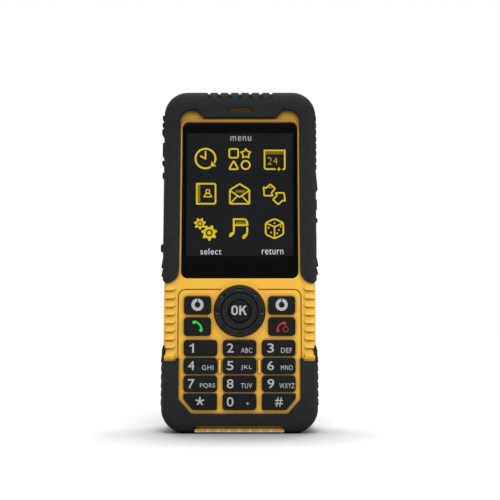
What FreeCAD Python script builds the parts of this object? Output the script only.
import FreeCAD, Part
import os
import Sketcher
from FreeCAD import Placement, Rotation, Vector

# Rugged bar handset: two housing halves, two rubber bumpers, a window over the
# display, twelve digit keys and four function keys, an OK button, a rocking
# navigation dial, side keys, a removable battery behind a cover, and the boards
# that they serve. Millimetres. +Z is up along the height, the front faces -Y,
# +X is to the right when the front is seen. The origin is the middle of the
# bottom face; the halves meet on the split line y = 0.

SIZES = [
    # overall envelope
    ("overall_height", 140.0, "bottom of the lower bumper to top of the upper one"),
    ("bumper_half_width", 31.55, "half width over the smooth rubber"),
    ("front_rubber", 12.0, "front face of the rubber, ahead of the split line"),
    ("back_rubber", 12.0, "back face of the rubber, behind the split line"),
    ("bumper_corner", 9.8, "corner radius of the outline"),
    ("bumper_edge", 3.2, "rounding of the front and back edges"),
    # housing
    ("core_half_width", 29.6, "half width of the housing under the rubber"),
    ("core_bottom", 2.1, "lowest face of the housing"),
    ("core_top", 137.9, "highest face of the housing"),
    ("core_corner", 7.4, "corner radius of the housing"),
    ("core_edge", 1.4, "edge rounding of the housing"),
    ("face_depth", 11.3, "housing front face, ahead of the split line"),
    ("rear_depth", 10.8, "housing rear face, behind the split line"),
    ("waist_half_width", 30.3, "half width of the bare waist between the bumpers"),
    ("waist_bottom", 27.4, "lower end of the bare waist"),
    ("waist_top", 61.4, "upper end of the bare waist, under the rubber"),
    ("waist_corner", 2.4, "corner radius of the waist seen from above"),
    ("flank_half_width", 30.85, "half width over the spine and the rail"),
    ("fall_bottom", 127.95, "where the face begins to fall away at the head"),
    ("wall", 2.2, "side wall"),
    ("front_wall", 2.4, "front wall"),
    ("rear_wall", 1.6, "rear wall"),
    # grip ribs
    ("rib_bottom", 30.39, "lower edge of the lowest rib"),
    ("rib_pitch", 3.311, "rib spacing"),
    ("rib_count", 9, "ribs on each side"),
    ("rib_half_width", 30.8, "half width over the rib roots"),
    ("rib_inner", 24.8, "inner end of a rib"),
    ("rib_front", 12.05, "rib, ahead of the split line"),
    ("rib_back", 11.4, "rib, behind the split line"),
    ("rib_slope", 12.6, "slope of a rib in degrees"),
    # bumper openings
    ("window_half_width", 24.75, "half width between the arms of the upper bumper"),
    ("window_top", 132.0, "top of the corner openings"),
    ("brow_bottom", 128.64, "lower edge of the brow over the window"),
    ("brow_half_width", 14.75, "half width of that edge"),
    ("brow_slant", 17.6, "half width of the brow where its slanted sides end"),
    ("arm_bottom", 59.9, "lower end of the arms"),
    ("arm_round", 5.0, "inner rounding of the arm ends"),
    ("window_round", 4.2, "rounding of the corner openings"),
    ("lower_top", 29.7, "front top of the lower bumper"),
    ("lower_half_width", 24.4, "half width of the lower opening"),
    ("lower_floor", 7.78, "bottom of the lower opening"),
    ("lower_chamfer_top", 13.5, "where its corner chamfers begin"),
    ("lower_chamfer_in", 19.3, "half width at the foot of the chamfers"),
    ("tongue_top", 34.6, "top of the side tongues of the lower bumper"),
    ("slot_half_width", 4.95, "half length of the earpiece slot"),
    ("slot_bottom", 131.15, "lower edge of the earpiece slot"),
    ("slot_top", 132.8, "upper edge of the earpiece slot"),
    ("groove_first", -12.93, "first groove across the top"),
    ("groove_pitch", 4.31, "spacing of the grooves across the top"),
    ("groove_count", 7, "grooves across the top"),
    ("groove_width", 1.3, "width of a groove across the top"),
    ("foot_half_width", 17.85, "half width of the recess at the bottom"),
    ("foot_top", 3.0, "top of the recess at the bottom"),
    # window and display
    ("lens_half_width", 23.8, "half width of the window"),
    ("lens_bottom", 61.8, "lower edge of the window"),
    ("lens_top", 126.65, "upper edge of the window"),
    ("lens_corner", 2.7, "corner radius of the window opening"),
    ("lens_front", 10.2, "front face of the window, ahead of the split line"),
    ("lens_thickness", 0.8, "thickness of the window"),
    ("lens_gap", 0.1, "gap round the window"),
    ("lip_margin", 0.78, "reach of the raised lip below and beside the window"),
    ("tape_thickness", 0.15, "thickness of the window seal"),
    ("sight_half_width", 22.4, "half width of the opening behind the window"),
    ("sight_bottom", 70.4, "lower edge of that opening"),
    ("sight_top", 122.8, "upper edge of that opening"),
    ("display_half_width", 24.2, "half width of the display"),
    ("display_bottom", 67.5, "lower edge of the display"),
    ("display_top", 125.5, "upper edge of the display"),
    ("display_thickness", 1.7, "thickness of the display"),
    # keys
    ("key_front", 12.2, "front of a key, ahead of the split line"),
    ("key_flange", 8.8, "front of a key's flange"),
    ("key_back", 8.3, "back of a key's flange"),
    ("key_gap", 0.12, "gap round a key"),
    ("key_lip", 0.28, "overhang of a key's flange"),
    ("key_corner", 1.2, "corner radius of a key"),
    ("key_edge", 0.35, "front edge rounding of a key"),
    ("column_pitch", 15.7, "spacing of the digit columns"),
    ("digit_width", 13.2, "width of a digit key"),
    ("digit_height", 6.2, "height of a digit key"),
    ("row_a", 33.7, "height of the 1-2-3 row"),
    ("row_b", 26.63, "height of the 4-5-6 row"),
    ("row_c", 19.59, "height of the 7-8-9 row"),
    ("row_d", 12.51, "height of the bottom row"),
    ("corner_cut", 3.7, "chamfer of the outer bottom keys"),
    ("function_offset", 17.0, "sideways place of the function keys"),
    ("function_width", 10.65, "width of a function key"),
    ("function_height", 7.15, "height of a function key"),
    ("soft_row", 50.81, "height of the soft keys"),
    ("call_row", 42.28, "height of the call keys"),
    ("bar_offset", 7.93, "sideways place of the locating bars"),
    ("bar_bottom", 23.6, "lower end of the locating bars"),
    ("bar_top", 29.2, "upper end of the locating bars"),
    # navigation dial
    ("dial_height", 48.52, "height of the dial centre"),
    ("dial_radius", 10.1, "outer radius of the dial"),
    ("dial_seam", 7.5, "radius of the seam between the rings"),
    ("seam_gap", 0.26, "width of that seam"),
    ("ok_radius", 4.34, "radius of the OK button"),
    ("ok_gap", 0.22, "gap round the OK button"),
    ("dial_front", 12.9, "front of the dial, ahead of the split line"),
    ("dial_back", 9.3, "back of the dial"),
    ("collar_radius", 11.5, "radius of the collar round the dial"),
    # panel outline
    ("panel_half_width", 24.8, "half width of the panel outline"),
    ("panel_top", 57.27, "top of the panel outline"),
    # inside
    ("board_front", 4.2, "front face of the main board, ahead of the split line"),
    ("board_thickness", 1.0, "thickness of the main board"),
    ("board_half_width", 26.2, "half width of the main board and chassis"),
    ("board_bottom", 6.0, "lower end of the main board and chassis"),
    ("board_top", 134.0, "upper end of the main board and chassis"),
    ("board_corner", 5.0, "corner radius of the main board and chassis"),
    ("keypad_half_width", 24.4, "half width of the keypad sheet and board"),
    ("keypad_bottom", 6.6, "lower end of the keypad sheet and board"),
    ("keypad_top", 60.4, "upper end of the keypad sheet and board"),
    ("keypad_corner", 2.0, "corner radius of the keypad sheet and board"),
    ("bay_half_width", 22.6, "half width of the battery bay"),
    ("bay_bottom", 18.0, "lower end of the battery bay"),
    ("bay_top", 84.4, "upper end of the battery bay"),
    ("bay_floor", 2.4, "floor of the battery bay, behind the split line"),
    ("cover_half_width", 24.3, "half width of the battery cover"),
    ("cover_bottom", 16.2, "lower edge of the battery cover"),
    ("cover_top", 85.8, "upper edge of the battery cover"),
    ("cover_corner", 2.5, "corner radius of the battery cover"),
    ("cover_front", 9.65, "inner face of the battery cover"),
    ("cover_back", 11.6, "outer face of the battery cover"),
    ("cover_gap", 0.2, "gap round the battery cover"),
    ("battery_half_width", 22.0, "half width of the battery"),
    ("battery_bottom", 26.2, "lower end of the battery"),
    ("battery_top", 82.7, "upper end of the battery"),
    ("battery_front", 2.7, "front of the battery, behind the split line"),
    ("battery_back", 8.8, "back of the battery"),
    ("lock_offset", 14.0, "sideways place of the cover locks"),
    ("lock_height", 21.5, "height of the cover locks"),
    ("lock_radius", 3.4, "radius of a lock head"),
    ("shank_radius", 1.5, "radius of a lock shank"),
    ("hinge_depth", 7.9, "hinge of the port cover, behind the split line"),
    ("hinge_height", 1.05, "height of that hinge"),
    ("knuckle_radius", 0.9, "radius of its knuckles"),
    ("knuckle_half_length", 12.0, "half length of the knuckle on the cover"),
    ("pin_radius", 0.5, "radius of its pin"),
    ("pin_half_length", 15.2, "half length of its pin"),
    ("flap_bottom", 0.9, "lower face of the port cover"),
    ("side_key_left_depth", 2.4, "half depth of the left side key"),
    ("side_key_left_low", 73.4, "lower end of the left side key"),
    ("side_key_left_high", 76.8, "upper end of the left side key"),
    ("side_key_right_depth", 2.2, "half depth of the right side key"),
    ("side_key_right_low", 72.9, "lower end of the right side key"),
    ("side_key_right_high", 81.7, "upper end of the right side key"),
    ("lens_hole", 4.1, "radius of the camera opening"),
    ("camera_offset", -9.0, "sideways place of the camera"),
    ("camera_height", 113.0, "height of the camera"),
    ("flash_offset", 2.0, "sideways place of the flash"),
    ("motor_depth", 2.0, "motor axis, behind the split line"),
    ("motor_height", 125.0, "height of the motor axis"),
    ("lanyard_depth", 9.5, "lanyard bar, behind the split line"),
    ("lanyard_height", 8.5, "height of the lanyard bar"),
    ("lanyard_radius", 0.8, "radius of the lanyard bar"),
    ("screw_offset", 25.0, "sideways place of the housing screws"),
    ("screw_radius", 0.8, "radius of a screw shank"),
    ("screw_head", 1.6, "radius of a screw head"),
    ("post_radius", 2.2, "radius of a screw post"),
    ("web_half_height", 1.6, "half height of the web beside a front post"),
]

doc = FreeCAD.newDocument("rugged_handset")
sheet = doc.addObject("Spreadsheet::Sheet", "Dims")
for row_number, (alias, value, note) in enumerate(SIZES, 1):
    sheet.set("A%d" % row_number, note)
    sheet.set("B%d" % row_number, "%g" % value)
    sheet.setAlias("B%d" % row_number, alias)
doc.recompute()


class Dim:
    """A size with its value and the expression that gives it."""

    def __init__(self, value, text):
        self.value = float(value)
        self.text = text

    def __add__(self, other):
        other = as_dim(other)
        return Dim(self.value + other.value, "(%s + %s)" % (self.text, other.text))

    def __sub__(self, other):
        other = as_dim(other)
        return Dim(self.value - other.value, "(%s - %s)" % (self.text, other.text))

    def __mul__(self, other):
        other = as_dim(other)
        return Dim(self.value * other.value, "(%s * %s)" % (self.text, other.text))

    def __truediv__(self, other):
        other = as_dim(other)
        return Dim(self.value / other.value, "(%s / %s)" % (self.text, other.text))

    def __neg__(self):
        return Dim(-self.value, "(0 - %s)" % self.text)


def as_dim(size):
    if isinstance(size, Dim):
        return size
    if size < 0:
        return Dim(size, "(0 - %.6f)" % -size)
    return Dim(size, "%.6f" % size)


class Sizes:
    """Every row of SIZES as an attribute."""

    def __init__(self):
        for alias, value, note in SIZES:
            setattr(self, alias, Dim(value, "Dims." + alias))


dim = Sizes()
SIDES = (("left", -1), ("right", 1))
CLEAR_X = 34.0  # past the flanks
CLEAR_Y = 13.0  # past the front and rear faces


def bind(obj, prop, size):
    obj.setExpression(prop, as_dim(size).text)


def put(obj, x, y, z):
    for axis, place in zip("xyz", (x, y, z)):
        bind(obj, "Placement.Base." + axis, place)


# Ranges and outlines

def across(half):
    """The range that reaches half to either side of zero."""
    return -half, half


def about(centre, half):
    return centre - half, centre + half


def beside(sign, inner, outer):
    """The x range between two offsets, on the left (-1) or the right (1)."""
    return (inner, outer) if sign > 0 else (-outer, -inner)


def mirrored(points):
    return [(-x, y) for x, y in reversed(points)]


def symmetric(half):
    """A closed outline from its right half."""
    return half + mirrored(half)


# Primitives

def box(name, x0, x1, y0, y1, z0, z1):
    block = doc.addObject("Part::Box", name)
    bind(block, "Length", as_dim(x1) - x0)
    bind(block, "Width", as_dim(y1) - y0)
    bind(block, "Height", as_dim(z1) - z0)
    put(block, x0, y0, z0)
    return block


def rod(name, rotation, start, radius, length):
    cylinder = doc.addObject("Part::Cylinder", name)
    cylinder.Placement = Placement(Vector(0, 0, 0), rotation)
    bind(cylinder, "Radius", radius)
    bind(cylinder, "Height", length)
    put(cylinder, *start)
    return cylinder


def rod_y(name, x, z, radius, y0, y1):
    rotation = Rotation(Vector(1, 0, 0), -90)
    return rod(name, rotation, (x, y0, z), radius, as_dim(y1) - y0)


def rod_x(name, y, z, radius, x0, x1):
    rotation = Rotation(Vector(0, 1, 0), 90)
    return rod(name, rotation, (x0, y, z), radius, as_dim(x1) - x0)


def fuse(name, *parts):
    joined = doc.addObject("Part::MultiFuse", name)
    joined.Shapes = list(parts)
    joined.Refine = True
    return joined


def cut(name, base, *tools):
    result = doc.addObject("Part::Cut", name)
    result.Base = base
    result.Tool = tools[0] if len(tools) == 1 else fuse(name + "_tools", *tools)
    result.Refine = True
    return result


def common(name, *parts):
    shared = doc.addObject("Part::MultiCommon", name)
    shared.Shapes = list(parts)
    shared.Refine = True
    return shared


# Sketches

def new_body(name):
    return doc.addObject("PartDesign::Body", name)


def origin_of(body, role):
    return next(f for f in body.Origin.OriginFeatures if f.Role == role)


def new_sketch(body, name, plane, offset=0.0):
    """A sketch on an origin plane. An offset moves an XZ_Plane sketch towards
    the front, and the others towards +X or +Z."""
    sketch = body.newObject("Sketcher::SketchObject", name)
    sketch.AttachmentSupport = [(origin_of(body, plane), "")]
    sketch.MapMode = "FlatFace"
    offset = as_dim(offset)
    sketch.AttachmentOffset = Placement(Vector(0, 0, offset.value), Rotation())
    sketch.setExpression("AttachmentOffset.Base.z", offset.text)
    return sketch


def drive(sketch, size, kind, *where):
    index = sketch.addConstraint(Sketcher.Constraint(kind, *where, size.value))
    sketch.setExpression("Constraints[%d]" % index, size.text)


def locate(sketch, line, end, kind, size):
    """Holds the end of a line at a signed distance from the sketch origin."""
    size = as_dim(size)
    if abs(size.value) < 1e-9:
        axis = -2 if kind == "DistanceX" else -1
        sketch.addConstraint(Sketcher.Constraint("PointOnObject", line, end, axis))
    elif size.value > 0:
        drive(sketch, size, kind, -1, 1, line, end)
    else:
        drive(sketch, -size, kind, line, end, -1, 1)


def polygon(sketch, points):
    first = sketch.GeometryCount
    corners = [Vector(as_dim(x).value, as_dim(y).value, 0) for x, y in points]
    count = len(points)
    for i in range(count):
        sketch.addGeometry(Part.LineSegment(corners[i], corners[(i + 1) % count]), False)
    for i in range(count):
        following = first + (i + 1) % count
        sketch.addConstraint(Sketcher.Constraint("Coincident", first + i, 2, following, 1))
    for i, (x, y) in enumerate(points):
        locate(sketch, first + i, 1, "DistanceX", x)
        locate(sketch, first + i, 1, "DistanceY", y)


def rounded(sketch, x0, x1, y0, y1, radius):
    """A rectangle with rounded corners."""
    sizes = [as_dim(size) for size in (x0, x1, y0, y1, radius)]
    left, right, low, high, bend = [size.value for size in sizes]
    near_x, far_x, near_y, far_y = left + bend, right - bend, low + bend, high - bend
    first = sketch.GeometryCount
    for start, end in (((near_x, low), (far_x, low)), ((right, near_y), (right, far_y)),
                       ((far_x, high), (near_x, high)), ((left, far_y), (left, near_y))):
        sketch.addGeometry(Part.LineSegment(Vector(*start, 0), Vector(*end, 0)), False)
    quarter = 1.5707963267948966
    centres = ((far_x, near_y), (far_x, far_y), (near_x, far_y), (near_x, near_y))
    for i, centre in enumerate(centres):
        circle = Part.Circle(Vector(*centre, 0), Vector(0, 0, 1), bend)
        start = (i + 3) % 4 * quarter
        sketch.addGeometry(Part.ArcOfCircle(circle, start, start + quarter), False)
    for i in range(4):
        arc = first + 4 + i
        sketch.addConstraint(Sketcher.Constraint("Tangent", first + i, 2, arc, 1))
        sketch.addConstraint(Sketcher.Constraint("Tangent", arc, 2, first + (i + 1) % 4, 1))
    for i, kind in enumerate(("Horizontal", "Vertical", "Horizontal", "Vertical")):
        sketch.addConstraint(Sketcher.Constraint(kind, first + i))
    for i in (5, 6, 7):
        sketch.addConstraint(Sketcher.Constraint("Equal", first + 4, first + i))
    drive(sketch, sizes[4], "Radius", first + 4)
    locate(sketch, first + 3, 1, "DistanceX", x0)
    locate(sketch, first + 1, 1, "DistanceX", x1)
    locate(sketch, first, 1, "DistanceY", y0)
    locate(sketch, first + 2, 1, "DistanceY", y1)


def draw(sketch, outline):
    """An outline is a list of corners, or a tuple (x0, x1, y0, y1, radius)."""
    if isinstance(outline, list):
        polygon(sketch, outline)
    else:
        rounded(sketch, *outline)


# Features: each one works on the tip of its body

def pad(body, name, sketch, length, both=False, back=False, taper=None):
    feature = body.newObject("PartDesign::Pad", name)
    feature.Profile = sketch
    bind(feature, "Length", length)
    if both:
        feature.SideType = "Symmetric"
    feature.Reversed = back
    if taper is not None:
        bind(feature, "TaperAngle", taper)


def pocket(body, name, sketch, depth, back=False):
    feature = body.newObject("PartDesign::Pocket", name)
    feature.Profile = sketch
    bind(feature, "Length", depth)
    feature.Reversed = back


def edges(body, x=None, y=None, z=None, tolerance=1e-4):
    """Names of the tip's edges that lie at the given coordinates."""
    doc.recompute()
    found = []
    for i, edge in enumerate(body.Tip.Shape.Edges, 1):
        b = edge.BoundBox
        limits = ((b.XMin, b.XMax, x), (b.YMin, b.YMax, y), (b.ZMin, b.ZMax, z))
        if all(abs(end - as_dim(want).value) <= tolerance
               for low, high, want in limits if want is not None for end in (low, high)):
            found.append("Edge%d" % i)
    if not found:
        raise RuntimeError("no such edge on %s" % body.Label)
    return found


def fillet(body, name, edge_names, radius):
    base = body.Tip
    feature = body.newObject("PartDesign::Fillet", name)
    feature.Base = (base, edge_names)
    bind(feature, "Radius", radius)


def row(body, name, axis, spacing, count):
    """Repeats the tip along an origin axis."""
    original = body.Tip
    pattern = body.newObject("PartDesign::LinearPattern", name)
    pattern.Originals = [original]
    pattern.Direction = (origin_of(body, axis), [""])
    bind(pattern, "Length", as_dim(spacing) * (as_dim(count) - 1))
    bind(pattern, "Occurrences", count)
    body.Tip = pattern


def extrude(name, plane, offset, outline, length, stem=None, both=False, taper=None):
    """A body padded from one outline; stem begins the names of its features."""
    stem = stem or name
    body = new_body(name)
    sketch = new_sketch(body, stem + "_outline", plane, offset)
    draw(sketch, outline)
    pad(body, stem + "_pad", sketch, length, both, taper=taper)
    return body


def plate(name, x0, x1, y0, y1, z0, z1, radius, edge=None):
    """A rounded rectangle seen from the front; edge rounds its front edges."""
    body = extrude(name, "XZ_Plane", -as_dim(y1), (x0, x1, z0, z1, radius), as_dim(y1) - y0)
    if edge is not None:
        fillet(body, name + "_edge", edges(body, y=y0), edge)
    return body


def turned(name, profile, x, z, stem=None):
    """A part turned about an axis along Y through (x, z); profile is (radius, y)."""
    stem = stem or name
    body = new_body(name)
    put(body, x, 0.0, z)
    sketch = new_sketch(body, stem + "_profile", "XY_Plane")
    polygon(sketch, profile)
    turn = body.newObject("PartDesign::Revolution", stem + "_turn")
    turn.Profile = sketch
    turn.ReferenceAxis = (sketch, ["V_Axis"])
    turn.Angle = 360.0
    return body


PIECES = []


def piece(name, obj):
    obj.Label = name
    PIECES.append((name, obj))
    return obj


# ---------------------------------------------------------------- envelopes

def form(name, half_width, front, back, bottom, top, corner, edge):
    """A rounded block whose front and back edges are rounded too."""
    body = plate(name, *across(half_width), -front, back, bottom, top, corner)
    fillet(body, name + "_edge", edges(body, y=-front) + edges(body, y=back), edge)
    return body


envelope = form("bumper_form", dim.bumper_half_width, dim.front_rubber, dim.back_rubber,
                0.0, dim.overall_height, dim.bumper_corner, dim.bumper_edge)
core = form("housing_form", dim.core_half_width, dim.face_depth, dim.rear_depth,
            dim.core_bottom, dim.core_top, dim.core_corner, dim.core_edge)

# Bare waist between the bumpers.
face = -dim.face_depth
waist = extrude("waist_form", "XY_Plane", dim.waist_bottom,
                (*across(dim.waist_half_width), face, dim.rear_depth, dim.waist_corner),
                dim.waist_top - dim.waist_bottom, stem="waist")

# Shingled ribs of one side, each with sloping faces.
ribs = extrude("rib_form", "XY_Plane", dim.rib_bottom,
               (dim.rib_inner, dim.rib_half_width, -dim.rib_front, dim.rib_back,
                dim.waist_corner), dim.rib_pitch, stem="rib", taper=-dim.rib_slope)
row(ribs, "rib_row", "Z_Axis", dim.rib_pitch, dim.rib_count)

# The lower inner corner of each rib curves up: x, height above the rib's lower edge.
RIB_CORNER = [(24.0, -0.02), (27.15, -0.02), (26.7, 0.1), (26.2, 0.4), (25.75, 0.85),
              (25.4, 1.4), (24.0, 1.9)]
rib_corner = extrude("rib_corner_form", "XZ_Plane", dim.face_depth,
                     [(x, dim.rib_bottom + rise) for x, rise in RIB_CORNER], 2.0,
                     stem="rib_corner")
row(rib_corner, "rib_corner_row", "Z_Axis", dim.rib_pitch, dim.rib_count)
rib_right = cut("rib_right_form", ribs, rib_corner)
rib_left = doc.addObject("Part::Mirroring", "rib_left_form")
rib_left.Source = rib_right
rib_left.Normal = Vector(1, 0, 0)

# A flat spine down each flank ties the ribs together.
spine_bottom = dim.waist_bottom + 1.2
spine = extrude("spine_form", "XY_Plane", spine_bottom,
                (*across(dim.flank_half_width), *across(4.2), 0.5),
                dim.waist_top - spine_bottom, stem="spine")
# Above the tongues of the lower bumper a smooth rail closes the outer ends of the ribs.
rail_bottom = dim.tongue_top - 1.4
rail = extrude("rail_form", "XY_Plane", rail_bottom,
               (*across(dim.flank_half_width), -11.15, 11.1, 2.2),
               dim.waist_top - rail_bottom, stem="rail")

# Three thin steps under the lowest rib: name, inner end, lower edge, front y, corner.
LAPS = (("a", 26.35, 29.95, -11.98, 0.38), ("b", 25.95, 29.25, -11.7, 0.7),
        ("c", 25.5, 28.55, -11.42, 0.9))
laps = []
for tag, sign in SIDES[::-1]:
    for step, inner, low, front, bend in LAPS:
        laps.append(plate("lap_%s_%s" % (tag, step), *beside(sign, inner, 30.3), front, -9.5,
                          low, dim.rib_bottom + 0.4, bend, edge=0.1))

# The face falls away towards the corners of the head: y, z.
FALL = [(-CLEAR_Y, dim.fall_bottom), (face, dim.fall_bottom), (-10.8, 128.5), (-10.35, 130.6),
        (-9.95, 133.0), (-9.95, 139.0), (-CLEAR_Y, 139.0)]
falls = []
for tag, sign in SIDES[::-1]:
    start, end = beside(sign, 13.0, 27.2)
    falls.append(extrude("head_fall_" + tag, "YZ_Plane", start, FALL, end - start))
# A shadow line under the brow, over the lip of the window.
falls.append(box("brow_shadow", *across(13.1), -CLEAR_Y, -10.6, dim.fall_bottom, 129.3))
housing_blank = fuse("housing_blank", core, waist, rib_right, rib_left, spine, rail, *laps)
housing = cut("housing_whole", housing_blank, *falls)

# Side keys: name, side, half depth, lower end, upper end, reach past the flank.
SIDE_KEYS = (
    ("left", -1, dim.side_key_left_depth, dim.side_key_left_low, dim.side_key_left_high, 1.85),
    ("right", 1, dim.side_key_right_depth, dim.side_key_right_low, dim.side_key_right_high,
     0.75),
)
side_holes, seal_gaps = [], []
for tag, sign, half_depth, low, high, reach in SIDE_KEYS:
    flank = beside(sign, 26.0, CLEAR_X)
    side_holes.append(box("side_hole_" + tag, *flank, *across(half_depth + dim.key_gap),
                          low - dim.key_gap, high + dim.key_gap))
    seal_gaps.append(box("seal_gap_" + tag, *flank, -1.0, 2.0, low - 0.6, high + 0.6))

# ---------------------------------------------------------------- bumpers

# Opening of the upper bumper, right half from the brow down.
opening = extrude("upper_opening", "XZ_Plane", 0.0, symmetric([
    (dim.brow_half_width, dim.brow_bottom), (dim.brow_slant, dim.window_top),
    (dim.window_half_width, dim.window_top), (dim.window_half_width, dim.arm_bottom),
    (30.2, dim.arm_bottom), (31.9, dim.arm_bottom + 1.6), (CLEAR_X, dim.arm_bottom + 1.6),
    (CLEAR_X, 50.0)]), 30.0, both=True)
for name, height, radius in (("arm_round_edge", dim.arm_bottom, dim.arm_round),
                             ("window_round_edge", dim.window_top, dim.window_round)):
    left, right = [edges(opening, x=x, z=height) for x in across(dim.window_half_width)]
    fillet(opening, name, left + right, radius)

# Grooves over the head from front to back, rear half: y, depth below the top.
HEAD_GROOVE = [(9.0, 0.52), (10.25, 1.0), (10.98, 1.75), (11.35, 2.5), (11.55, 3.2),
               (12.02, 4.4), (CLEAR_Y, 4.4), (CLEAR_Y, -2.0)]
head = extrude("head_grooves", "YZ_Plane", dim.groove_first - dim.groove_width / 2,
               symmetric([(y, dim.overall_height - drop) for y, drop in HEAD_GROOVE]),
               dim.groove_width, stem="head_groove")
row(head, "head_groove_row", "X_Axis", dim.groove_pitch, dim.groove_count)

# Tread blocks on the flanks: lower end, upper end, reach past the flank at each end.
LEFT_LUGS = [
    (131.7, 133.3, 0.2, -0.2), (128.7, 130.7, 1.0, 0.95), (125.7, 127.6, 1.05, 1.05),
    (122.4, 124.8, 1.2, 1.2), (113.0, 119.0, 0.85, 0.85), (109.4, 111.3, 1.0, 1.0),
    (103.8, 106.2, 0.8, 0.8), (66.1, 70.4, 0.8, 0.25), (62.6, 65.9, 0.7, 0.3)]
RIGHT_LUGS = [
    (131.3, 134.4, 0.25, -0.5), (128.3, 130.8, 0.5, 0.42), (125.3, 127.8, 0.5, 0.5),
    (122.3, 124.8, 0.5, 0.5), (119.3, 121.8, 0.5, 0.5), (116.3, 118.8, 0.48, 0.48),
    (113.3, 115.8, 0.46, 0.46), (110.4, 112.8, 0.46, 0.46), (107.5, 109.8, 0.46, 0.46),
    (98.8, 107.0, 0.85, 0.2), (90.5, 94.9, 0.5, 0.5), (85.2, 87.0, 0.7, 0.7),
    (66.8, 70.9, 0.85, 0.25), (63.4, 66.3, 0.75, 0.3)]
LOW_LUG_PITCH = 3.4
LOW_LUGS = [(27.6 - LOW_LUG_PITCH * i, 30.4 - LOW_LUG_PITCH * i, 0.44, 0.34) for i in range(6)]
LUG_DEPTH = 15.0


def lugs(name, sign, rows):
    body = new_body(name)
    sketch = new_sketch(body, name + "_outline", "XZ_Plane")
    flank = dim.bumper_half_width
    for low, high, reach_low, reach_high in rows:
        profile = [(flank - 1.7, low), (flank + (reach_low - 0.35), low),
                   (flank + reach_low, low + 0.3), (flank + reach_high, high - 0.3),
                   (flank + (reach_high - 0.3), high), (flank - 1.7, high)]
        polygon(sketch, [(x * sign, z) for x, z in profile])
    pad(body, name + "_pad", sketch, LUG_DEPTH, both=True)
    return body


# Upper bumper: an arch of rubber over the head and down both sides.
upper_band = box("upper_band", *across(CLEAR_X), *across(CLEAR_Y), dim.arm_bottom,
                 dim.overall_height + 1.0)
upper_form = fuse("upper_form", common("upper_arch", envelope, upper_band),
                  lugs("lugs_left", -1, LEFT_LUGS), lugs("lugs_right", 1, RIGHT_LUGS))
ear_slot = plate("ear_slot", *across(dim.slot_half_width), -14.0, -9.0,
                 dim.slot_bottom, dim.slot_top, 0.3)
# A crease runs up from each slanted end of the brow.
CREASE = [(17.3, 131.8), (17.9, 131.8), (19.5, 135.6)]
crease = new_body("brow_crease")
sketch = new_sketch(crease, "brow_crease_outline", "XZ_Plane", 11.68)
polygon(sketch, CREASE)
polygon(sketch, mirrored(CREASE))
pad(crease, "brow_crease_pad", sketch, 2.0)
piece("upper_bumper", cut("upper_bumper_cut", upper_form, opening, head, ear_slot, crease,
                          housing, *side_holes))

# Lower bumper: a cup of rubber with thin tongues up both flanks.
lower = extrude("lower_band", "XZ_Plane", 0.0, symmetric([
    (CLEAR_X, -1.0), (CLEAR_X, 32.0), (31.75, 32.0), (30.84, dim.tongue_top),
    (30.2, dim.tongue_top), (30.2, 28.45), (26.4, 28.45), (25.75, 28.75), (25.45, 29.3),
    (25.4, dim.lower_top), (dim.lower_half_width, dim.lower_top),
    (dim.lower_half_width, dim.lower_chamfer_top), (dim.lower_chamfer_in, dim.lower_floor)]),
    30.0, both=True)
foot = extrude("foot_recess", "XZ_Plane", -9.4, symmetric([
    (dim.foot_half_width, -1.0), (dim.foot_half_width, dim.foot_top - 0.7),
    (dim.foot_half_width - 0.8, dim.foot_top)]), 23.0)
lanyard_hole = box("lanyard_hole", -20.0, -14.0, 7.4, CLEAR_Y, 4.6, 12.4)
lower_outer = fuse("lower_outer", envelope, lugs("low_lugs_left", -1, LOW_LUGS),
                   lugs("low_lugs_right", 1, LOW_LUGS))
lower_form = common("lower_form", lower_outer, lower)
piece("lower_bumper", cut("lower_bumper_cut", lower_form, housing, foot, lanyard_hole))

# ---------------------------------------------------- hollow halves and screws

inner_half = dim.core_half_width - dim.wall
inner_bottom = dim.core_bottom + dim.wall
inner_top = dim.core_top - dim.wall
front_inside = face + dim.front_wall
rear_inside = dim.rear_depth - dim.rear_wall


def shell(tag, y0, y1, cavity_y0, cavity_y1):
    space = box(tag + "_space", *across(40.0), y0, y1, -5.0, 150.0)
    half = common(tag + "_half", housing, space)
    cavity = box(tag + "_cavity", *across(inner_half), cavity_y0, cavity_y1,
                 inner_bottom, inner_top)
    return cut(tag + "_shell", half, cavity)


front_shell = shell("front", -20.0, 0.0, front_inside, 0.1)
rear_shell = shell("rear", 0.0, 20.0, -0.1, rear_inside)

SCREWS = [(sign, height) for height in (10.0, 91.6, 128.0) for sign in (-1, 1)]
POST_GAP = 0.2  # gap between the front posts and the boards
front_posts, rear_posts, threads, screw_holes, board_holes = [], [], [], [], []
for i, (sign, height) in enumerate(SCREWS):
    x = dim.screw_offset * sign
    # The topmost posts reach the front wall; the others end short of it.
    start = front_inside if height > 120 else -5.95
    web_x = beside(sign, dim.screw_offset, inner_half + 0.5)
    front_posts += [
        rod_y("front_post_%d" % i, x, height, dim.post_radius, start, 0.0),
        box("front_web_%d" % i, *web_x, start, 0.0, -dim.web_half_height + height,
            dim.web_half_height + height)]
    rear_posts.append(rod_y("rear_post_%d" % i, x, height, dim.post_radius, 0.0, rear_inside))
    threads.append(rod_y("thread_%d" % i, x, height, dim.screw_radius, -6.0, 0.0))
    screw_holes += [
        rod_y("screw_hole_%d" % i, x, height, dim.screw_radius + 0.1, 0.0, dim.rear_depth),
        rod_y("screw_seat_%d" % i, x, height, dim.screw_head + 0.1, dim.rear_depth - 1.2,
              dim.rear_depth + 2.0)]
    notch_half = dim.web_half_height + POST_GAP
    board_holes.append(fuse(
        "board_hole_%d" % i,
        rod_y("board_drill_%d" % i, x, height, dim.post_radius + POST_GAP, -8.0, 0.0),
        box("board_notch_%d" % i, *web_x, -8.0, 0.0, -notch_half + height,
            notch_half + height)))

# ------------------------------------------------------------ key outlines

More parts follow.
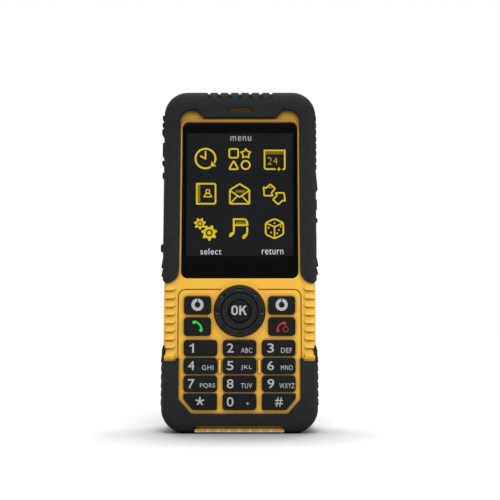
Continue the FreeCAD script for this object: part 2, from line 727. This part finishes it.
KEYS = []  # name, centre x, centre z, half width, half height
for names, height in ((("key_1", "key_2", "key_3"), dim.row_a),
                      (("key_4", "key_5", "key_6"), dim.row_b),
                      (("key_7", "key_8", "key_9"), dim.row_c),
                      (("key_star", "key_0", "key_hash"), dim.row_d)):
    for side, name in zip((-1, 0, 1), names):
        KEYS.append((name, dim.column_pitch * side, height,
                     dim.digit_width / 2, dim.digit_height / 2))
for name, side, height in (("soft_key_left", -1, dim.soft_row),
                           ("soft_key_right", 1, dim.soft_row),
                           ("call_key", -1, dim.call_row), ("end_key", 1, dim.call_row)):
    KEYS.append((name, dim.function_offset * side, height,
                 dim.function_width / 2, dim.function_height / 2))
CUT_KEYS = {"key_star": -1, "key_hash": 1}  # keys with a chamfered lower outer corner


def key_outline(name, x, z, half_width, half_height, grow, radius):
    """Outline of a key, grown all round."""
    x0, x1 = about(x, half_width + grow)
    z0, z1 = about(z, half_height + grow)
    if name not in CUT_KEYS:
        return x0, x1, z0, z1, radius
    # A grown chamfer keeps its slope and moves out by less than its sides.
    run = dim.corner_cut + grow / 2
    rise = dim.corner_cut * 1.17 + grow / 2
    if CUT_KEYS[name] < 0:
        return [(x0 + run, z0), (x1, z0), (x1, z1), (x0, z1), (x0, z0 + rise)]
    return [(x0, z0), (x1 - run, z0), (x1, z0 + rise), (x1, z1), (x0, z1)]


# ----------------------------------------------------------- front housing

apertures = new_body("key_apertures")
sketch = new_sketch(apertures, "key_aperture_outlines", "XZ_Plane", 8.0)
for key_row in KEYS:
    draw(sketch, key_outline(*key_row, dim.key_gap, dim.key_corner + dim.key_gap))
pad(apertures, "key_aperture_pad", sketch, 6.0)

lens_back = -dim.lens_front + dim.lens_thickness
tape_back = lens_back + dim.tape_thickness
pocket_x = across(dim.lens_half_width + dim.lens_gap)
pocket_z = (dim.lens_bottom - dim.lens_gap, dim.lens_top + dim.lens_gap)
lens_pocket = plate("lens_pocket", *pocket_x, -CLEAR_Y, tape_back, *pocket_z, dim.lens_corner)
# Sloping rim that leads down to the window.
lens_rim = extrude("lens_rim", "XZ_Plane", 11.25, (*pocket_x, *pocket_z, dim.lens_corner),
                   0.6, taper=38.0)
# Raised lip round the window, which fades into the face at its lower end.
lip_blank = plate("window_lip", *across(dim.lens_half_width + dim.lip_margin), -11.62, -10.6,
                  dim.lens_bottom - dim.lip_margin, dim.lens_top + 1.2, 3.3, edge=0.28)
lip_fade = extrude("window_lip_fade", "YZ_Plane", -30.0, [
    (-CLEAR_Y, 55.0), (face, 55.0), (face, 64.5), (-11.75, 86.0), (-CLEAR_Y, 86.0)], 60.0)
lip = cut("window_lip_form", lip_blank, lip_fade)
sight = plate("sight", *across(dim.sight_half_width), -12.0, -8.0,
              dim.sight_bottom, dim.sight_top, 0.8)
dial_hole = rod_y("dial_hole", 0.0, dim.dial_height, dim.dial_radius + 0.35, -14.0, -7.0)
grille_hole = plate("grille_hole", *across(5.3), -CLEAR_Y, -8.0,
                    dim.slot_bottom - 0.35, dim.slot_top + 0.35, 0.4)

# Engraved outline of the keypad panel, broken by the collar of the dial.
PANEL_CORNER = 2.9
GROOVE_HALF = 0.26
panel_out = plate("panel_out", *across(dim.panel_half_width + GROOVE_HALF), face - 1.0,
                  face + 0.35, 9.0, dim.panel_top + GROOVE_HALF, PANEL_CORNER + GROOVE_HALF)
panel_y = (face - 2.0, face + 1.0)
panel_in = plate("panel_in", *across(dim.panel_half_width - GROOVE_HALF), *panel_y,
                 5.0, dim.panel_top - GROOVE_HALF, PANEL_CORNER - GROOVE_HALF)
panel_low = box("panel_low", *across(40.0), *panel_y, 0.0, dim.lower_top + 0.3)
panel_mid = rod_y("panel_mid", 0.0, dim.dial_height, dim.collar_radius, *panel_y)
panel_groove = cut("panel_groove", panel_out, panel_in, panel_low, panel_mid)

# Raised locating bars either side of the 5, and the collar round the dial.
bars = [plate("bar_" + tag, *about(dim.bar_offset * sign, 0.52), face - 0.75, face + 0.5,
              dim.bar_bottom, dim.bar_top, 0.5, edge=0.25) for tag, sign in SIDES]
collar_inner = dim.dial_radius + 0.1
collar_ring = turned("collar_ring", [
    (collar_inner, face + 0.5), (collar_inner, face - 0.14),
    (dim.dial_radius + 0.8, face - 0.14), (dim.collar_radius, face),
    (dim.collar_radius, face + 0.5)], 0.0, dim.dial_height, stem="collar")

floor_z = (dim.core_bottom - 1.0, inner_bottom + 0.1)
usb_hole = box("usb_hole", *across(4.1), -3.35, -0.25, *floor_z)
mic_hole = box("mic_hole", 10.4, 11.6, -3.0, -1.8, *floor_z)
front_rich = fuse("front_rich", front_shell, collar_ring, lip, *bars, *front_posts)
piece("front_housing", cut("front_housing_cut", front_rich, lens_pocket, lens_rim, sight,
                           apertures, dial_hole, grille_hole, panel_groove, *side_holes,
                           usb_hole, mic_hole, *threads))

# ------------------------------------------------------------ rear housing

def seal_plate(name, inset, y0, y1):
    return plate(name, *across(dim.core_half_width - inset), y0, y1, dim.core_bottom + inset,
                 dim.core_top - inset, dim.core_corner - inset)


housing_seal = piece("housing_seal", cut(
    "housing_seal_cut", seal_plate("seal_out", 0.8, 0.0, 0.5),
    seal_plate("seal_in", 1.4, -1.0, 1.0), *seal_gaps))

bay_block = box("bay_block", *across(dim.bay_half_width + 3.1), dim.bay_floor - 2.0,
                dim.rear_depth - 1.0, dim.bay_bottom - 3.2, dim.bay_top + 2.8)
bay_deep = plate("bay_deep", *across(dim.bay_half_width), dim.bay_floor, 12.0,
                 dim.bay_bottom, dim.bay_top, 1.0)
bay_rim = plate("bay_rim", *across(dim.cover_half_width + dim.cover_gap), 9.0, CLEAR_Y,
                dim.cover_bottom - dim.cover_gap, dim.cover_top + dim.cover_gap,
                dim.cover_corner + dim.cover_gap)
card_recess = box("card_recess", -18.6, -3.4, 0.85, 3.0, 44.0, 78.6)
# Undercuts that take the cams of the cover locks.
hooks = [box("hook_" + tag, *about(dim.lock_offset * sign, 2.9), 6.9, 8.4,
             dim.bay_bottom - 2.1, dim.bay_bottom + 0.5) for tag, sign in SIDES]
camera_hole = rod_y("camera_hole", dim.camera_offset, dim.camera_height, dim.lens_hole,
                    8.0, 12.0)
flash_hole = rod_y("flash_hole", dim.flash_offset, dim.camera_height, 1.7, 8.0, 12.0)
voice = extrude("voice_slots", "XZ_Plane", -12.0, (7.0, 19.0, 107.4, 108.4, 0.45), 4.0,
                stem="voice_slot")
row(voice, "voice_slot_row", "Z_Axis", 2.4, 5)
lanyard_block = box("lanyard_block", -21.6, -12.4, 6.0, dim.rear_depth - 1.0, 4.3, 12.4)
lanyard_axis = (dim.lanyard_depth, dim.lanyard_height, dim.lanyard_radius)
lanyard_seat = rod_x("lanyard_seat", *lanyard_axis, -21.0, -13.0)

hinge_axis = (dim.hinge_depth, dim.hinge_height)
hinge_lugs = []
for tag, sign in SIDES:
    lug_x = beside(sign, 12.2, 16.0)
    hinge_lugs += [
        rod_x("hinge_lug_" + tag, *hinge_axis, dim.knuckle_radius, *lug_x),
        box("hinge_root_" + tag, *lug_x, *about(dim.hinge_depth, dim.knuckle_radius),
            dim.hinge_height, dim.core_bottom + 0.6)]
pin_x = across(dim.pin_half_length)
hinge_bore = rod_x("hinge_bore", *hinge_axis, dim.pin_radius, *pin_x)
rear_rich = fuse("rear_rich", rear_shell, bay_block, lanyard_block, *rear_posts, *hinge_lugs)
piece("rear_housing", cut("rear_housing_cut", rear_rich, bay_deep, bay_rim, card_recess,
                          camera_hole, flash_hole, voice, lanyard_hole, lanyard_seat,
                          hinge_bore, housing_seal, *side_holes, *hooks, *screw_holes))
piece("lanyard_bar", rod_x("lanyard_bar_rod", *lanyard_axis, -20.9, -13.1))

# ------------------------------------------------------------------ screws

def screw(i, x, height):
    """A slotted screw, driven in from the rear."""
    rear = dim.rear_depth
    shaft = rod_y("screw_shaft_%d" % i, x, height, dim.screw_radius, -5.5, rear - 1.0)
    cap = rod_y("screw_cap_%d" % i, x, height, dim.screw_head, rear - 1.2, rear - 0.2)
    slot = box("screw_drive_%d" % i, *about(x, 0.2), rear - 0.7, rear, *about(height, 1.1))
    return cut("screw_%d" % i, fuse("screw_blank_%d" % i, shaft, cap), slot)


screw_group = doc.addObject("Part::Compound", "screw_group")
screw_group.Links = [screw(i, dim.screw_offset * sign, height)
                     for i, (sign, height) in enumerate(SCREWS)]
piece("housing_screws", screw_group)

# -------------------------------------------------------- window and display

lens_x = across(dim.lens_half_width)
lens_z = (dim.lens_bottom, dim.lens_top)
pane_corner = dim.lens_corner - 0.1
piece("lens", plate("lens_body", *lens_x, -dim.lens_front, lens_back, *lens_z, pane_corner,
                    edge=0.2))
gasket_out = plate("gasket_out", *lens_x, lens_back, tape_back, *lens_z, pane_corner)
gasket_in = plate("gasket_in", *across(dim.sight_half_width + 0.2), -12.0, -8.0,
                  dim.sight_bottom - 0.2, dim.sight_top + 0.2, 1.0)
piece("lens_gasket", cut("lens_gasket_cut", gasket_out, gasket_in))
display_front = front_inside + 0.05
piece("display_module", box("display_box", *across(dim.display_half_width), display_front,
                            display_front + dim.display_thickness,
                            dim.display_bottom, dim.display_top))

# Folded ribbon from the display to the main board: y, z.
FLEX = [(-7.1, 72.0), (-6.9, 72.0), (-6.9, 64.6), (-4.25, 64.6), (-4.25, 66.5),
        (-4.2, 66.5), (-4.2, 64.4), (-7.1, 64.4)]
flex = new_body("flex_body")
sketch = new_sketch(flex, "flex_profile", "YZ_Plane", -7.0)
polygon(sketch, FLEX)
pad(flex, "flex_pad", sketch, 14.0)
piece("display_flex", flex)

# ------------------------------------------------------ chassis and main board

board_x = across(dim.board_half_width)
board_z = (dim.board_bottom, dim.board_top)
board_back = -dim.board_front + dim.board_thickness
# Frame plate between the display side and the board side.
chassis_plate = plate("chassis_plate", *board_x, -5.7, -4.4, *board_z, dim.board_corner)
chassis_hole = box("chassis_hole", *across(9.0), -8.0, 0.0, 60.0, 73.0)
piece("chassis", cut("chassis_cut", chassis_plate, chassis_hole, *board_holes))
board_plate = plate("board_plate", *board_x, -dim.board_front, board_back, *board_z,
                    dim.board_corner)
piece("main_board", cut("main_board_cut", board_plate, fuse("board_drill", *board_holes)))

SHIELD_WALL = 0.3
shields, shield_rooms = [], []
for stem, low, high in (("shield", 90.0, 106.0), ("shield_low", 46.0, 80.0)):
    shields.append(plate(stem + "_out", *across(20.0), board_back, -1.2, low, high, 1.0))
    shield_rooms.append(box(stem + "_in", *across(20.0 - SHIELD_WALL), -6.0,
                            -1.2 - SHIELD_WALL, low + SHIELD_WALL, high - SHIELD_WALL))
piece("shield_cans", cut("shield_cut", fuse("shield_blank", *shields), *shield_rooms))

# ---------------------------------------------------------------- earpiece

grille = extrude("grille_body", "XZ_Plane", 10.95,
                 (*across(5.25), dim.slot_bottom - 0.3, dim.slot_top + 0.3, 0.35), 0.3,
                 stem="grille")
sketch = new_sketch(grille, "grille_perforation", "XZ_Plane", 12.0)
rounded(sketch, -4.7, -4.3, 131.3, 132.65, 0.15)
pocket(grille, "grille_hole_cut", sketch, 3.0)
row(grille, "grille_hole_row", "X_Axis", 0.75, 13)
piece("earpiece_grille", grille)
piece("earpiece", plate("earpiece_body", *across(6.5), -8.85, -6.0, 129.2, 134.6, 1.4,
                        edge=0.3))

# -------------------------------------------------------------------- keys

def key(key_row):
    """A key cap with rounded front edges and a flange behind the wall."""
    name = key_row[0]
    body = new_body(name + "_body")
    sketch = new_sketch(body, name + "_cap", "XZ_Plane", dim.key_flange)
    draw(sketch, key_outline(*key_row, 0.0, dim.key_corner))
    pad(body, name + "_pad", sketch, dim.key_front - dim.key_flange)
    if name in CUT_KEYS:
        doc.recompute()
        corners = ["Edge%d" % i for i, edge in enumerate(body.Tip.Shape.Edges, 1)
                   if edge.BoundBox.YLength > 1.0]
        fillet(body, name + "_corners", corners, dim.key_corner * 0.8)
    fillet(body, name + "_edge", edges(body, y=-dim.key_front), dim.key_edge)
    sketch = new_sketch(body, name + "_flange", "XZ_Plane", dim.key_back)
    draw(sketch, key_outline(*key_row, dim.key_lip, dim.key_corner))
    pad(body, name + "_flange_pad", sketch, dim.key_flange - dim.key_back)
    piece(name, body)


for key_row in KEYS:
    key(key_row)

# ------------------------------------------------------------ navigation dial

inner_rim, outer_rim = about(dim.dial_seam, dim.seam_gap / 2)
front, back = -dim.dial_front, -dim.dial_back
outer_ring = turned("outer_ring_body", [
    (outer_rim, back), (outer_rim, front + 0.35), (outer_rim + 0.18, front + 0.15),
    (dim.dial_radius - 0.75, front), (dim.dial_radius - 0.25, front + 0.16),
    (dim.dial_radius, front + 0.6), (dim.dial_radius, back)], 0.0, dim.dial_height)
# Eight dimples round the outer ring.
sketch = new_sketch(outer_ring, "dimple_outline", "XZ_Plane", dim.dial_front - 0.5)
ring_middle = (outer_rim + dim.dial_radius) / 2
rounded(sketch, *across(1.0), ring_middle - 0.6, ring_middle + 0.55, 0.25)
pocket(outer_ring, "dimple", sketch, 2.0, back=True)
dimple = outer_ring.Tip
dimple_ring = outer_ring.newObject("PartDesign::PolarPattern", "dimple_ring")
dimple_ring.Originals = [dimple]
dimple_ring.Axis = (origin_of(outer_ring, "Y_Axis"), [""])
dimple_ring.Angle = 360.0
dimple_ring.Occurrences = 8
outer_ring.Tip = dimple_ring
piece("nav_outer_ring", outer_ring)

bore = dim.ok_radius + dim.ok_gap
piece("nav_inner_ring", turned("inner_ring_body", [
    (bore, back), (bore, front + 0.75), (bore + 0.2, front + 0.6), (inner_rim - 0.2, front + 0.3),
    (inner_rim, front + 0.45), (inner_rim, back)], 0.0, dim.dial_height))

ok_back = -dim.key_back - 0.2
piece("ok_button", turned("ok_body", [
    (0.0, ok_back), (0.0, front), (dim.ok_radius - 1.6, front + 0.04),
    (dim.ok_radius - 0.5, front + 0.16), (dim.ok_radius, front + 0.55),
    (dim.ok_radius, ok_back)], 0.0, dim.dial_height))

# ------------------------------------------------ sheet and board behind keys

def keypad_sheet(name, y0, y1):
    return plate(name, *across(dim.keypad_half_width), y0, y1, dim.keypad_bottom,
                 dim.keypad_top, dim.keypad_corner)


piece("keypad_membrane", keypad_sheet("membrane_plate", -7.85, -7.05))
keypad_plate = keypad_sheet("keypad_plate", -6.85, -6.05)
domes = [rod_y("dome_%d" % i, key_row[1], key_row[2], 2.0, -6.95, -6.85)
         for i, key_row in enumerate(KEYS)]
piece("keypad_board", fuse("keypad_board_fuse", keypad_plate, *domes))

# --------------------------------------------------------------- side keys

def side_key(tag, sign, half_depth, low, high, reach):
    name = "side_key_" + tag
    body = new_body(name + "_body")
    inner = inner_half - 0.1
    outer = dim.bumper_half_width + reach
    sketch = new_sketch(body, name + "_outline", "YZ_Plane", inner * sign)
    rounded(sketch, *across(half_depth), low, high, 1.2)
    pad(body, name + "_pad", sketch, outer - inner, back=sign < 0)
    fillet(body, name + "_edge", edges(body, x=outer * sign), 0.55)
    sketch = new_sketch(body, name + "_flange", "YZ_Plane", (inner - 0.6) * sign)
    rounded(sketch, *across(half_depth + 0.5), low - 0.7, high + 0.7, 1.0)
    pad(body, name + "_flange_pad", sketch, 0.6, back=sign < 0)
    piece(name, body)


for side_key_row in SIDE_KEYS:
    side_key(*side_key_row)

# ----------------------------------------------------- battery and its cover

piece("battery", plate("battery_body", *across(dim.battery_half_width), dim.battery_front,
                       dim.battery_back, dim.battery_bottom, dim.battery_top, 1.2, edge=0.4))
contact_bottom = dim.bay_top - 1.0
contact_pins = [box("contact_pin_%d" % i, 5.0 + 3 * i, 6.0 + 3 * i, 4.4, 5.6,
                    dim.battery_top + 0.05, contact_bottom) for i in range(3)]
contact_block = box("contacts_block", 3.5, 13.5, 3.6, 6.4, contact_bottom, dim.bay_top)
piece("battery_contacts", fuse("contacts_fuse", contact_block, *contact_pins))

# Cover with eleven channels across its outer face and two lock seats.
cover_x = across(dim.cover_half_width)
cover_z = (dim.cover_bottom, dim.cover_top)
cover = extrude("cover_plate", "XZ_Plane", -dim.cover_back,
                (*cover_x, *cover_z, dim.cover_corner), dim.cover_back - dim.cover_front,
                stem="cover")
fillet(cover, "cover_edge", edges(cover, y=dim.cover_back), 0.7)
sketch = new_sketch(cover, "cover_channel", "XZ_Plane", -12.0)
rounded(sketch, *across(17.0), 33.0, 34.0, 0.45)
pocket(cover, "cover_channel_cut", sketch, 0.8, back=True)
row(cover, "cover_channel_row", "Z_Axis", 4.2, 11)
lock_cuts = []
for tag, sign in SIDES:
    axis = (dim.lock_offset * sign, dim.lock_height)
    lock_cuts += [
        rod_y("lock_seat_" + tag, *axis, dim.lock_radius + 0.15, 10.45, CLEAR_Y),
        rod_y("lock_bore_" + tag, *axis, dim.shank_radius + 0.05, 9.0, CLEAR_Y)]
piece("battery_cover", cut("battery_cover_cut", cover, *lock_cuts))
cover_seal_out = plate("cover_seal_out", *cover_x, 9.0, 9.6, *cover_z, dim.cover_corner)
cover_seal_in = plate("cover_seal_in", *across(dim.bay_half_width + 0.3), 8.0, 11.0,
                      dim.bay_bottom - 0.3, dim.bay_top + 0.3, 1.3)
piece("cover_seal", cut("cover_seal_cut", cover_seal_out, cover_seal_in))


def cover_lock(tag, sign):
    """A slotted head on a shank, with a cam that points to the middle."""
    x, z = dim.lock_offset * sign, dim.lock_height
    head_rod = rod_y("lock_head_" + tag, x, z, dim.lock_radius, 10.5, 11.8)
    shank = rod_y("lock_shank_" + tag, x, z, dim.shank_radius, 7.2, 10.5)
    cam = box("lock_cam_" + tag, *beside(sign, dim.lock_offset - 4.3, dim.lock_offset),
              7.2, 8.2, *about(z, 1.1))
    slot = box("lock_slot_" + tag, *about(x, 0.45), 11.2, 12.0, *about(z, 2.6))
    blank = fuse("cover_lock_blank_" + tag, head_rod, shank, cam)
    piece("cover_lock_" + tag, cut("cover_lock_cut_" + tag, blank, slot))


for tag, sign in SIDES:
    cover_lock(tag, sign)

# ------------------------------------------------------- camera and flash

camera_axis = (dim.camera_offset, dim.camera_height)
camera_house = plate("camera_house", *about(dim.camera_offset, 4.5), -3.2, 2.8,
                     *about(dim.camera_height, 4.5), 0.6)
camera_barrel = rod_y("camera_barrel", *camera_axis, 3.4, 2.8, 9.0)
camera_iris = rod_y("camera_iris", *camera_axis, 1.6, 7.6, 10.0)
piece("camera_module", cut("camera_cut", fuse("camera_blank", camera_house, camera_barrel),
                           camera_iris))
# Dished window: radius, y.
CAMERA_WINDOW = [(0.0, 9.7), (0.0, 10.3), (3.0, 10.3), (3.2, 11.15), (3.9, 11.15),
                 (4.05, 11.0), (4.05, 9.7)]
piece("camera_window", turned("camera_window_body", CAMERA_WINDOW, *camera_axis))
flash_lens = rod_y("flash_lens", dim.flash_offset, dim.camera_height, 1.6, 7.0, 10.7)
flash_base = box("flash_base", *about(dim.flash_offset, 2.0), 6.2, 7.0,
                 *about(dim.camera_height, 2.0))
piece("flash_led", fuse("flash_fuse", flash_lens, flash_base))

# ------------------------------------------------- sound, motor and sockets

piece("loudspeaker", plate("speaker_body", 5.0, 21.0, 5.6, 9.1, 105.6, 120.4, 1.5, edge=0.4))
motor_axis = (dim.motor_depth, dim.motor_height)
piece("vibration_motor", fuse("motor_fuse",
                              rod_x("motor_can", *motor_axis, 2.0, -22.0, -14.0),
                              rod_x("motor_shaft", *motor_axis, 0.4, -14.0, -9.6)))
# Eccentric weight: a rod with its upper part trimmed off.
weight_trim = box("weight_trim", -20.0, 0.0, *about(dim.motor_depth, 4.0),
                  dim.motor_height + 0.7, dim.motor_height + 5.0)
piece("vibration_weight", cut("weight_half",
                              rod_x("weight_rod", *motor_axis, 2.5, -13.2, -10.0),
                              weight_trim,
                              rod_x("weight_bore", *motor_axis, 0.43, -20.0, 0.0)))
piece("microphone", box("mic_body", 9.2, 12.8, -3.2, -1.9, 6.2, 9.0))

usb_shell = plate("usb_shell", *across(3.9), -3.2, -0.4, 2.3, 7.6, 0.4)
usb_room = box("usb_room", *across(3.6), -2.95, -0.65, 2.0, 7.2)
usb_tongue = box("usb_tongue", *across(2.6), -2.1, -1.5, 3.7, 7.25)
piece("usb_connector", fuse("usb_fuse", cut("usb_cut", usb_shell, usb_room), usb_tongue))

antenna_block = plate("antenna_block", *across(21.0), 1.0, 8.0, 130.2, 135.4, 1.0)
antenna_room = box("antenna_room", *across(20.2), 0.0, 7.2, 131.0, 134.8)
piece("cellular_antenna", cut("antenna_cut", antenna_block, antenna_room))
patch_body = plate("patch_body", 4.0, 20.0, -3.2, 0.8, 109.0, 125.0, 0.6)
patch_plate = plate("patch_plate", 5.5, 18.5, 0.8, 1.0, 110.5, 123.5, 0.4)
piece("satellite_patch_antenna", fuse("patch_fuse", patch_body, patch_plate))

socket_block = box("socket_block", -18.2, -3.8, 0.85, 2.35, 62.0, 78.4)
socket_channel = box("socket_channel", -17.2, -4.8, 1.1, 1.97, 61.0, 77.6)
socket_window = box("socket_window", -15.0, -7.0, 1.9, 3.0, 61.0, 74.0)
piece("sim_socket", cut("socket_cut", socket_block, socket_channel, socket_window))
# Card with one cut corner: x, z.
CARD = [(-17.1, 62.4), (-4.9, 62.4), (-4.9, 77.4), (-14.6, 77.4), (-17.1, 74.9)]
piece("sim_card", extrude("card_body", "XZ_Plane", -1.9, CARD, 0.74, stem="card"))

# ------------------------------------------------------------- port cover

flap = extrude("flap_plate", "XY_Plane", dim.flap_bottom, (*across(17.5), -11.2, 6.9, 0.5),
               1.12, stem="flap")
fillet(flap, "flap_edge", edges(flap, z=dim.flap_bottom), 0.3)
# Seven notches along the front edge.
sketch = new_sketch(flap, "flap_notch", "XY_Plane", dim.flap_bottom)
polygon(sketch, [(-13.2, -12.0), (-12.15, -12.0), (-12.15, -10.3), (-13.2, -10.3)])
pocket(flap, "flap_notch_cut", sketch, 0.7, back=True)
row(flap, "flap_notch_row", "X_Axis", 4.22, 7)
knuckle_x = across(dim.knuckle_half_length)
flap_web = box("flap_web", *knuckle_x, 6.0, dim.hinge_depth,
               dim.hinge_height - 0.1, dim.hinge_height + 0.85)
flap_knuckle = rod_x("flap_knuckle", *hinge_axis, dim.knuckle_radius, *knuckle_x)
flap_plug = plate("flap_plug", *across(3.1), -2.75, -0.85, 1.9, 3.1, 0.4)
flap_bore = rod_x("flap_bore", *hinge_axis, dim.pin_radius + 0.03, *across(13.0))
flap_mic_hole = box("flap_mic_hole", 10.6, 11.4, -2.8, -2.0, 0.0, 3.0)
flap_blank = fuse("port_cover_blank", flap, flap_web, flap_knuckle, flap_plug)
piece("port_cover", cut("port_cover_cut", flap_blank, flap_bore, flap_mic_hole))
piece("port_cover_pin", rod_x("hinge_pin", *hinge_axis, dim.pin_radius, *pin_x))

# ------------------------------------------------------------------ export

doc.recompute()
failed = [o.Label for o in doc.Objects if "Invalid" in o.State or "Error" in o.State]
if failed:
    raise RuntimeError("objects that failed: %s" % failed)
for name, obj in PIECES:
    if obj.Shape.isNull() or not obj.Shape.isValid() or not obj.Shape.Solids:
        raise RuntimeError("bad shape: %s" % name)
os.makedirs("parts", exist_ok=True)
for name, obj in PIECES:
    obj.Shape.exportStep("parts/%s.step" % name)
